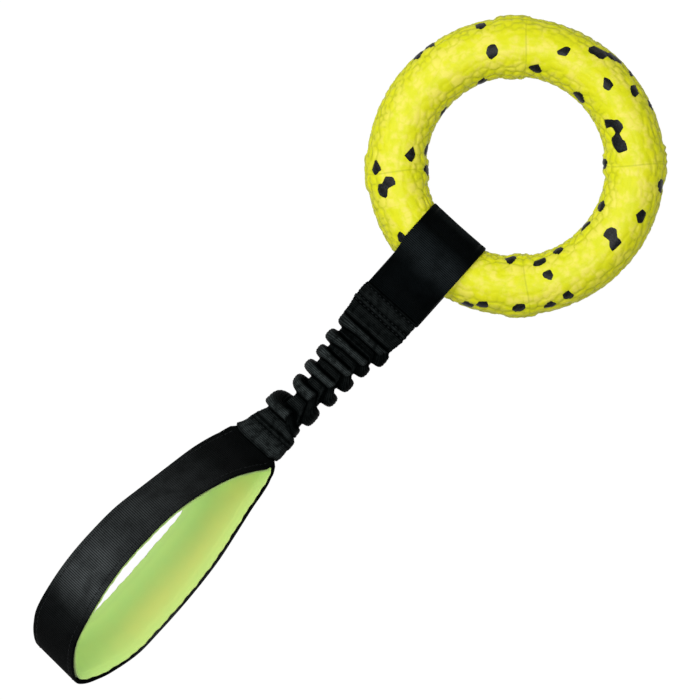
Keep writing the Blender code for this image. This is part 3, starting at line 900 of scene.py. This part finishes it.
def inner_rows():
    """The sleeve's inner face, from the lower mouth back to the upper one."""
    wall = SLEEVE_WALL / MM
    edge = SLEEVE_WALL / PIXEL

    def mouth(places, cuff_row):
        _, left, right, high, _ = cuff_row
        return [*places, left - edge, right - edge, high - wall, 1, 0]

    def flat_part(t, left, right, high):
        return [t, t, t, left, right, high, 1, 0]

    first, last = UPPER_CUFF[0], LOWER_CUFF[-1]
    return through(
        [
            mouth(cuff_end(last[0]), last),
            flat_part(378, 32, 16, 1.8),
            flat_part(362, 29.6, 17, 1.8),
            *([t, t, t, 8.8, 8.8, 3.7, 0, 0] for t in (335, 310, 285, 260, 240)),
            flat_part(222, 29, 28.6, 1.9),
            flat_part(196, 31.8, 29, 1.8),
            mouth([first[0]] * 3, first),
            flat_part(*first[:4]),
        ],
        8,
    )


# Materials


def shade(hex_colour):
    """A colour as written on a screen, turned to the linear values that shaders use."""
    parts = [int(hex_colour[i : i + 2], 16) / 255 for i in (1, 3, 5)]
    linear = [p / 12.92 if p <= 0.04045 else ((p + 0.055) / 1.055) ** 2.4 for p in parts]
    return (*linear, 1.0)


def node(tree, kind, inputs=None, **settings):
    """Adds one node, with its settings and its inputs, which are values or links."""
    made = tree.nodes.new(kind)
    for key, value in settings.items():
        setattr(made, key, value)
    for key, value in (inputs or {}).items():
        if isinstance(value, bpy.types.NodeSocket):
            tree.links.new(value, made.inputs[key])
        else:
            made.inputs[key].default_value = value
    return made


def sums(tree, operation, first, second=0.0, clamp=False):
    inputs = {0: first, 1: second}
    return node(tree, "ShaderNodeMath", inputs, operation=operation, use_clamp=clamp).outputs[0]


def times(tree, first, *others):
    for other in others:
        first = sums(tree, "MULTIPLY", first, other)
    return first


def ramp(tree, value, low, high):
    """0 at low, 1 at high, smooth in between."""
    inputs = {"Value": value, "From Min": low, "From Max": high}
    made = node(tree, "ShaderNodeMapRange", inputs, interpolation_type="SMOOTHSTEP")
    return made.outputs["Result"]


def blended(tree, share, first, second):
    """A colour between two others."""
    inputs = {0: share, 6: first, 7: second}
    made = node(tree, "ShaderNodeMix", inputs, data_type="RGBA", clamp_factor=True)
    return made.outputs[2]


def object_place(tree):
    return node(tree, "ShaderNodeTexCoord").outputs["Object"]


def noise_of(tree, size, detail=2.0, roughness=0.5):
    """Fractal noise whose largest features are about size metres wide."""
    inputs = {"Scale": 1 / size, "Detail": detail, "Roughness": roughness}
    inputs["Vector"] = object_place(tree)
    return node(tree, "ShaderNodeTexNoise", inputs).outputs["Fac"]


def new_material(name):
    material = bpy.data.materials.new(name)
    material.use_nodes = True
    material.node_tree.nodes.clear()
    return material, material.node_tree


def stored(tree, name):
    """The values that a piece stores under this name."""
    return node(tree, "ShaderNodeAttribute", attribute_name=name).outputs["Fac"]


def output(tree, shader):
    node(tree, "ShaderNodeOutputMaterial", {"Surface": shader})


def principled(tree, colour, roughness, relief=None, **inputs):
    """The surface. Its fine relief is a strength, a depth in metres and a height."""
    inputs |= {"Base_Color": colour, "Roughness": roughness}
    if relief:
        bump = node(tree, "ShaderNodeBump", dict(zip(("Strength", "Distance", "Height"), relief)))
        inputs["Normal"] = bump.outputs["Normal"]
    named = {key.replace("_", " "): value for key, value in inputs.items()}
    output(tree, node(tree, "ShaderNodeBsdfPrincipled", named).outputs["BSDF"])


def bead_foam():
    """Expanded thermoplastic beads, fused in a steam mould: satin skins and soft grooves, with
    painted highlights on the crown's bead tops and painted shade in the grooves and seams.
    """
    material, tree = new_material("fused bead foam")
    border, tone = stored(tree, "bead_border"), stored(tree, "bead_tone")
    steep, black = stored(tree, "tube_side"), stored(tree, "black_bead")
    patchy = noise_of(tree, 6 * MM, 4.0)
    grain = noise_of(tree, 0.9 * MM, 3.0, 0.6)
    tone_and_highlight = blended(tree, tone, shade("#DFE314"), shade("#E6E61B"))
    # Painted highlight: cream patches on the bead tops of the crown, none on the steep sides
    painted_highlight = times(
        tree,
        ramp(tree, patchy, 0.42, 0.64),
        ramp(tree, border, -0.4, 0.8),
        ramp(tree, steep, 1.3, 0.1),
    )
    tone_and_highlight = blended(tree, painted_highlight, tone_and_highlight, shade("#F2E95A"))
    # Painted shade in the grooves between beads, stronger on the tube's steep sides, and along
    # the seams
    painted_groove_shade = times(tree, ramp(tree, border, 0.9, 0.0), ramp(tree, steep, -0.12, 0.85))
    seam = ramp(tree, sums(tree, "ABSOLUTE", stored(tree, "from_seam")), 0.70, 0.05)
    painted_groove_shade = sums(tree, "MAXIMUM", painted_groove_shade, times(tree, seam, 0.75))
    yellow = blended(tree, times(tree, painted_groove_shade, 0.55), tone_and_highlight, shade("#AEB41C"))
    char = blended(tree, ramp(tree, grain, 0.42, 0.72), shade("#010203"), shade("#20262A"))
    colour = blended(tree, ramp(tree, black, -0.07, 0.07), yellow, char)
    principled(tree, colour, 0.45, (0.35, 0.12 * MM, grain), Specular_IOR_Level=0.22)
    return material


def nylon_webbing(name, dark, light, pitch, patch, patch_low, patch_high):
    """Woven nylon: fine crosswise ribs of round filaments. Its colour is a painted sheen: where
    the stored painted sheen is, the rib crests are paler than the gaps between them, in
    patches about patch metres wide."""
    material, tree = new_material(name)
    weave = node(tree, "ShaderNodeUVMap", uv_map="weave").outputs["UV"]
    axes = node(tree, "ShaderNodeSeparateXYZ", {"Vector": weave})
    turns = times(tree, axes.outputs["Y"], 2 * math.pi / pitch)
    rib = times(tree, sums(tree, "ADD", sums(tree, "COSINE", turns), 1.0), 0.5)
    yarn = sums(tree, "SINE", times(tree, axes.outputs["X"], 2 * math.pi / YARN_PITCH))
    patchy = noise_of(tree, patch, 3.0)
    fluff = noise_of(tree, 0.5 * MM, 2.0, 0.7)
    # Painted sheen: pale rib crests and darker gaps, only where the stored painted sheen is
    lit = times(tree, rib, ramp(tree, patchy, patch_low, patch_high))
    lit = sums(tree, "ADD", lit, times(tree, fluff, 0.25), clamp=True)
    lit = times(tree, lit, stored(tree, "painted_sheen"))
    colour = blended(tree, lit, shade(dark), shade(light))
    height = sums(tree, "ADD", rib, times(tree, yarn, 0.2))
    height = sums(tree, "ADD", height, times(tree, fluff, 0.5))
    principled(tree, colour, 0.4, (0.7, 0.1 * MM, height), Specular_IOR_Level=0.008)
    return material


def knit_padding():
    """Foam padding faced with a fine soft knit in fluorescent lime, yellower in a painted band of
    light."""
    material, tree = new_material("knit faced foam padding")
    cloudy = noise_of(tree, 8 * MM, 3.0)
    knit = noise_of(tree, 0.45 * MM, 1.0)
    cloudy = times(tree, ramp(tree, cloudy, 0.3, 0.7), 0.12)
    # The stored painted band of light makes the knit yellower
    share = sums(tree, "ADD", stored(tree, "painted_lit_band"), cloudy)
    colour = blended(tree, share, shade("#CCF48C"), shade("#EAF486"))
    principled(
        tree,
        colour,
        0.85,
        (0.3, 0.1 * MM, knit),
        Specular_IOR_Level=0.2,
        Sheen_Weight=0.3,
        Sheen_Roughness=0.6,
    )
    return material


def sewing_thread():
    """Bonded polyester thread: twisted plies with a slight gloss."""
    material, tree = new_material("bonded polyester thread")
    inputs = {"Vector": object_place(tree), "Scale": 1 / (2.5 * MM), "Distortion": 1.0}
    plies = node(tree, "ShaderNodeTexWave", inputs, bands_direction="DIAGONAL")
    colour = blended(tree, plies.outputs["Fac"], shade("#090B0C"), shade("#171B1D"))
    principled(tree, colour, 0.6, Specular_IOR_Level=0.15)
    return material


def elastic_rubber():
    """Natural rubber strands under a braided cover, matt black."""
    material, tree = new_material("braided rubber elastic")
    braid = noise_of(tree, 1.2 * MM, 2.0)
    colour = blended(tree, braid, shade("#101214"), shade("#24282A"))
    principled(tree, colour, 0.7, (0.4, 0.2 * MM, braid))
    return material


# The studio


def make_studio():
    scene = bpy.context.scene
    scene.view_settings.view_transform = "Standard"
    # Soft light from all round, and a white background for the camera
    world = bpy.data.worlds.new("studio")
    scene.world = world
    world.use_nodes = True
    tree = world.node_tree
    tree.nodes.clear()
    white = shade("#FFFFFF")
    share = node(tree, "ShaderNodeLightPath").outputs["Is Camera Ray"]
    soft = node(tree, "ShaderNodeBackground", {"Color": white, "Strength": 0.27})
    seen = node(tree, "ShaderNodeBackground", {"Color": white, "Strength": 1.0})
    both = node(tree, "ShaderNodeMixShader", {0: share, 1: soft.outputs[0], 2: seen.outputs[0]})
    node(tree, "ShaderNodeOutputWorld", {"Surface": both.outputs[0]})

    bpy.ops.mesh.primitive_plane_add(size=FLOOR_SIZE, location=(0, 0, -FLOOR_DROP))
    floor = start("studio_floor")
    # The camera sees the paper as white, with the toy's soft shadow on it
    material, tree = new_material("white paper floor")
    rays = node(tree, "ShaderNodeLightPath").outputs
    direct = sums(tree, "MAXIMUM", rays["Is Camera Ray"], rays["Is Glossy Ray"])
    direct = sums(tree, "MAXIMUM", direct, rays["Is Transmission Ray"])
    share = times(tree, direct, 0.88)
    soft = node(tree, "ShaderNodeBsdfDiffuse", {"Color": shade("#9A9A9A")})
    seen = node(tree, "ShaderNodeEmission", {"Color": white, "Strength": 1.12})
    both = node(tree, "ShaderNodeMixShader", {0: share, 1: soft.outputs[0], 2: seen.outputs[0]})
    output(tree, both.outputs[0])
    floor.data.materials.append(material)

    for name, place, size, power in SOFTBOXES:
        lamp = bpy.data.lights.new(name, "AREA")
        lamp.shape = "DISK"
        lamp.size = size
        lamp.energy = power
        made = bpy.data.objects.new(name, lamp)
        made.location = place
        made.rotation_euler = (-made.location).to_track_quat("-Z", "Y").to_euler()
        scene.collection.objects.link(made)

    camera = bpy.data.cameras.new("camera")
    camera.sensor_width = SENSOR_WIDTH
    span = PHOTO_SIDE * PIXEL
    camera.lens = SENSOR_WIDTH * (CAMERA_HEIGHT - RING_HEIGHT) / span
    camera.clip_end = 30
    made = bpy.data.objects.new("camera", camera)
    x, y = photo_place((PHOTO_SIDE / 2, PHOTO_SIDE / 2))
    made.location = (x, y, CAMERA_HEIGHT)
    made.rotation_euler = (0, 0, PHOTO_TURN)
    scene.collection.objects.link(made)
    scene.camera = made


def make_strap(material):
    path = strap_path()

    def half_width(points):
        reach = RING_Y - points[:, 1]
        above = ease((points[:, 2] - BUNGEE_HEIGHT) / (2 * MM) + 0.5)
        inside = ease((reach - NECK_REACH - FOLD_DEPTH) / (3 * MM))
        narrow = ease((reach - RING_RADIUS) / (13 * MM))
        left = WEBBING_WIDTH / 2 + 0.5 * MM * above - 1.3 * MM * narrow
        right = WEBBING_WIDTH / 2 - 0.8 * MM * above - 0.4 * MM * narrow * (1 - above)
        return mixed(left, TAIL_HALF_WIDTH, inside), mixed(right, TAIL_HALF_WIDTH, inside)

    def bow(points, across):
        """The strap's middle pulls tight against the ring's inner side."""
        reach = RING_Y - points[:, 1]
        return -STRAP_BOW * (1 - across**2) * ease((50 * MM - reach) / (9 * MM))

    strap = webbing("ring_strap_webbing", path, half_width, STRAP_PAINTED_SHEEN, RIB_PITCH, bow=bow)
    finish(strap, material, "black_webbing", None, "ring_strap", "ring_strap_end")
    blend(strap, "ring_loop", "neck", NECK_REACH - FOLD_LENGTH, NECK_REACH + FOLD_DEPTH)


def loop_half_widths(points):
    reach = (RING_Y - points[:, 1]) / MM
    places, left, right = zip(*LOOP_HALF_WIDTHS)
    return np.interp(reach, places, left) * MM, np.interp(reach, places, right) * MM


def make_hand_loop(material, padding, thread):
    path = handle_path()
    x, _, z = LOOP_NECK
    fold = ("bungee_end", "hand_loop", HANDLE_START - FOLD_DEPTH, HANDLE_START + FOLD_LENGTH)
    loop = webbing(
        "hand_loop_webbing", path, loop_half_widths, LOOP_PAINTED_SHEEN, LOOP_RIB_PITCH, STITCH_PULL
    )
    finish(loop, material, "black_webbing", None, "handle_webbing", "handle_end")
    blend(loop, *fold, x, z)

    keep = path.points[:, 1] < along(HANDLE_START + LINING_START)
    shift = (WEBBING_THICKNESS + LINING_THICKNESS) / 2 + LINING_GAP
    inner = Path(path.points[keep] - path.outs[keep] * shift, path.widths[keep])
    lining = pad("hand_loop_padding", inner)
    finish(lining, padding, "green_padding", None, "handle_lining")
    blend(lining, *fold, x, z)

    for side, name in ((-1, "left"), (1, "right")):
        across = side * (WEBBING_WIDTH / 2 - STITCH_INSET)
        level = WEBBING_THICKNESS / 2
        line = path.points[keep] + path.widths[keep] * across + path.outs[keep] * level
        row = stitches(f"hand_loop_stitches_{name}", [(line, path.outs[keep])])
        finish(row, thread, "thread", "hand_loop", f"edge_stitching_{name}")


def pad(name, path):
    """Padding along a path: thin at its uneven edges, its ends and its two sewn lines, with a
    painted band of light on the lower ply."""

    def shape(reach, across, level, points):
        from_end = np.minimum(reach, path.length - reach)
        lower = ease((reach / path.length - 0.45) / 0.1)
        left_half = LINING_LEFT_HALF * mixed(0.5, 1, ease(from_end / (9 * MM)))
        right_half = loop_half_widths(points)[1] - mixed(0.9, 0.4, lower) * MM
        half = np.where(across < 0, left_half, right_half)
        inward = np.clip((1 - np.abs(across)) * half, 0, None)
        wave = np.sin(reach / (1.9 * MM)) + np.sin(reach / (0.83 * MM) + across)
        half = half + 0.14 * MM * wave
        thin = mixed(0.24, 1, ease(inward / (4 * MM)))
        thin -= 0.14 * bell(inward - STITCH_INSET, 0.8 * MM)
        taper = ease(from_end / (3 * MM))
        height = LINING_THICKNESS / 2 * level * thin * mixed(0.4, 1, taper)
        pixels = (RING_Y - points[:, 1]) / PIXEL
        # Painted light: a yellower band across the lower ply where it is lit, weaker at its right
        # edge and the loop's ends
        lit_band_share = ease((across + 0.45) / 0.9) * mixed(1, 0.4, ease((across - 0.5) / 0.5))
        lit_band_share = lit_band_share * ease((pixels - 380) / 50) * ease((665 - pixels) / 90)
        return across * half, height, 0, ("painted_lit_band", 0.85 * lit_band_share * lower)

    rows = int(path.length / (1 * MM))
    return band(name, path, rows, 2 * (WEBBING_WIDTH + LINING_THICKNESS), shape)


def make_core(material):
    """The elastic: flat where the cuffs hold it, thick in the sleeve."""

    def form(a, b):
        reach = mixed(CORE_START, CORE_START + CORE_LENGTH, b)
        inside = ease(np.minimum(reach - 104 * MM, 166 * MM - reach) / (7 * MM))
        middle_x, middle_z = sleeve_middle(reach)
        middle_x = middle_x * ease((reach - 152 * MM) / (12 * MM))
        angle = 2 * math.pi * a
        ends = np.sqrt(np.clip(np.minimum(b, 1 - b) / 0.012, 0.02, 1))
        half = mixed(12.6 * MM, 3.4 * MM, inside) * mixed(0.9, 1, ends)
        high = mixed(1.3 * MM, 3 * MM, inside) * ends
        x, z = np.cos(angle) * half, np.sin(angle) * high
        return turned(reach, middle_x, middle_z, x, z), 30 * MM, CORE_LENGTH

    core = skin("bungee_elastic", 24, 100, form)
    smooth(core, 60)
    finish(core, material, "elastic", None, "bungee_core")
    blend(core, "neck", "bungee_end", SLEEVE_START, SLEEVE_START + SLEEVE_LENGTH)


def make_cuff_stitches(thread):
    """Rows of stitching across both faces of each cuff."""
    rows = sleeve_rows()

    def sewn(name, body, replaced, places):
        lines = []
        for t in places:
            sizes = columns_at(t, rows[:, 1], rows)
            for first, last in ((20, 160), (200, 340)):
                angle = np.radians(np.linspace(first, last, ARC_STEPS))
                points = sleeve_places(np.tile(sizes, (ARC_STEPS, 1)), angle)
                turn = sleeve_turn(t * PIXEL)
                up = 1 if first < 180 else -1
                out = up * np.array([-math.sin(turn), 0, math.cos(turn)])
                lines.append((points, np.tile(out, (ARC_STEPS, 1))))
        row = stitches(name, lines, CUFF_STITCH_LENGTH, CUFF_STITCH_SPACING)
        finish(row, thread, "thread", body, replaced)

    sewn("upper_cuff_stitches", "neck", "upper_cuff_stitching", (187.2, 199.6, 204.9))
    sewn("lower_cuff_stitches", "bungee_end", "lower_cuff_stitching", (363.0, 378.6))


strap_nylon = nylon_webbing(
    "woven nylon strap", "#000101", "#343B3E", RIB_PITCH, 9 * MM, 0.0, 0.75
)
sleeve_nylon = nylon_webbing(
    "woven nylon sleeve", "#000101", "#3C4242", RIB_PITCH, 2.6 * MM, 0.25, 0.65
)
loop_nylon = nylon_webbing(
    "woven nylon hand loop", "#020303", "#54595A", LOOP_RIB_PITCH, 9 * MM, 0.0, 0.75
)
thread = sewing_thread()

make_studio()
make_ring(bead_foam())
make_strap(strap_nylon)
make_sleeve(sleeve_nylon)
make_core(elastic_rubber())
make_cuff_stitches(thread)
make_hand_loop(loop_nylon, knit_padding(), thread)
